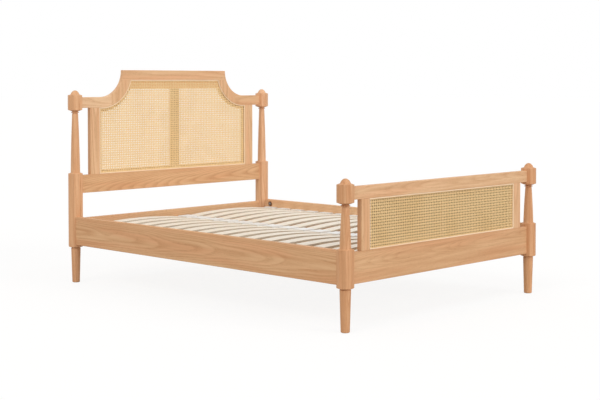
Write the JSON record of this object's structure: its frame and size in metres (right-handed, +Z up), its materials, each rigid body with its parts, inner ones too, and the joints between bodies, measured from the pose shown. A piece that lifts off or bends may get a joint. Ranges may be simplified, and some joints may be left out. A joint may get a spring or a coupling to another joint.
{
  "type": "bed frame",
  "caption": "Double bed frame in light oak: octagonal posts on turned legs, a shaped headboard and a low footboard with woven cane panels, side rails and a bowed slat base.",
  "frame": {"origin": "on the floor, under the middle of the bed", "axes": "+Y from the foot to the head, +Z up, +X to the right seen from the foot"},
  "size_m": [1.471, 2.018, 1.139],
  "materials": {
    "oak": "clear matt lacquer on oak",
    "pale_bead": "clear matt lacquer on pale wood",
    "cane": "natural woven cane, matt",
    "slat_birch": "white-washed birch plywood",
    "white_plastic": "moulded, matt white",
    "pine": "planed softwood",
    "zinc_steel": "bright zinc plate"
  },
  "bodies": {
    "root": {"centre_rail": "pine", "centre_rail_hangers": "zinc_steel", "foot_back_battens": "oak", "foot_back_board": "oak", "foot_cane_beads": "pale_bead", "foot_cane_crossbands": "cane", "foot_cane_uprights": "cane", "foot_lower_rail": "oak", "foot_muntin": "oak", "foot_post_left": "oak", "foot_post_right": "oak", "foot_stile_left": "oak", "foot_stile_right": "oak", "foot_top_rail": "oak", "half_moon_washers": "zinc_steel", "head_back_battens": "oak", "head_cane_beads": "pale_bead", "head_cane_crossbands": "cane", "head_cane_uprights": "cane", "head_corner_left": "oak", "head_corner_right": "oak", "head_crest_rail": "oak", "head_cross_rail": "oak", "head_frame_tongues": "oak", "head_lower_rail": "oak", "head_muntin": "oak", "head_post_left": "oak", "head_post_right": "oak", "head_shoulder_left": "oak", "head_shoulder_right": "oak", "head_stile_left": "oak", "head_stile_right": "oak", "rail_bolts": "zinc_steel", "rail_nuts": "zinc_steel", "side_rail_left": "oak", "side_rail_right": "oak", "slat_holders_centre": "white_plastic", "slat_holders_left": "white_plastic", "slat_holders_right": "white_plastic", "slat_ledger_left": "pine", "slat_ledger_right": "pine", "slat_pair_01": "slat_birch", "slat_pair_02": "slat_birch", "slat_pair_03": "slat_birch", "slat_pair_04": "slat_birch", "slat_pair_05": "slat_birch", "slat_pair_06": "slat_birch", "slat_pair_07": "slat_birch", "slat_pair_08": "slat_birch", "slat_pair_09": "slat_birch", "slat_pair_10": "slat_birch", "slat_pair_11": "slat_birch", "slat_pair_12": "slat_birch", "slat_pair_13": "slat_birch", "slat_pair_14": "slat_birch", "slat_pair_15": "slat_birch", "slat_pair_16": "slat_birch"}
  },
  "joints": []
}
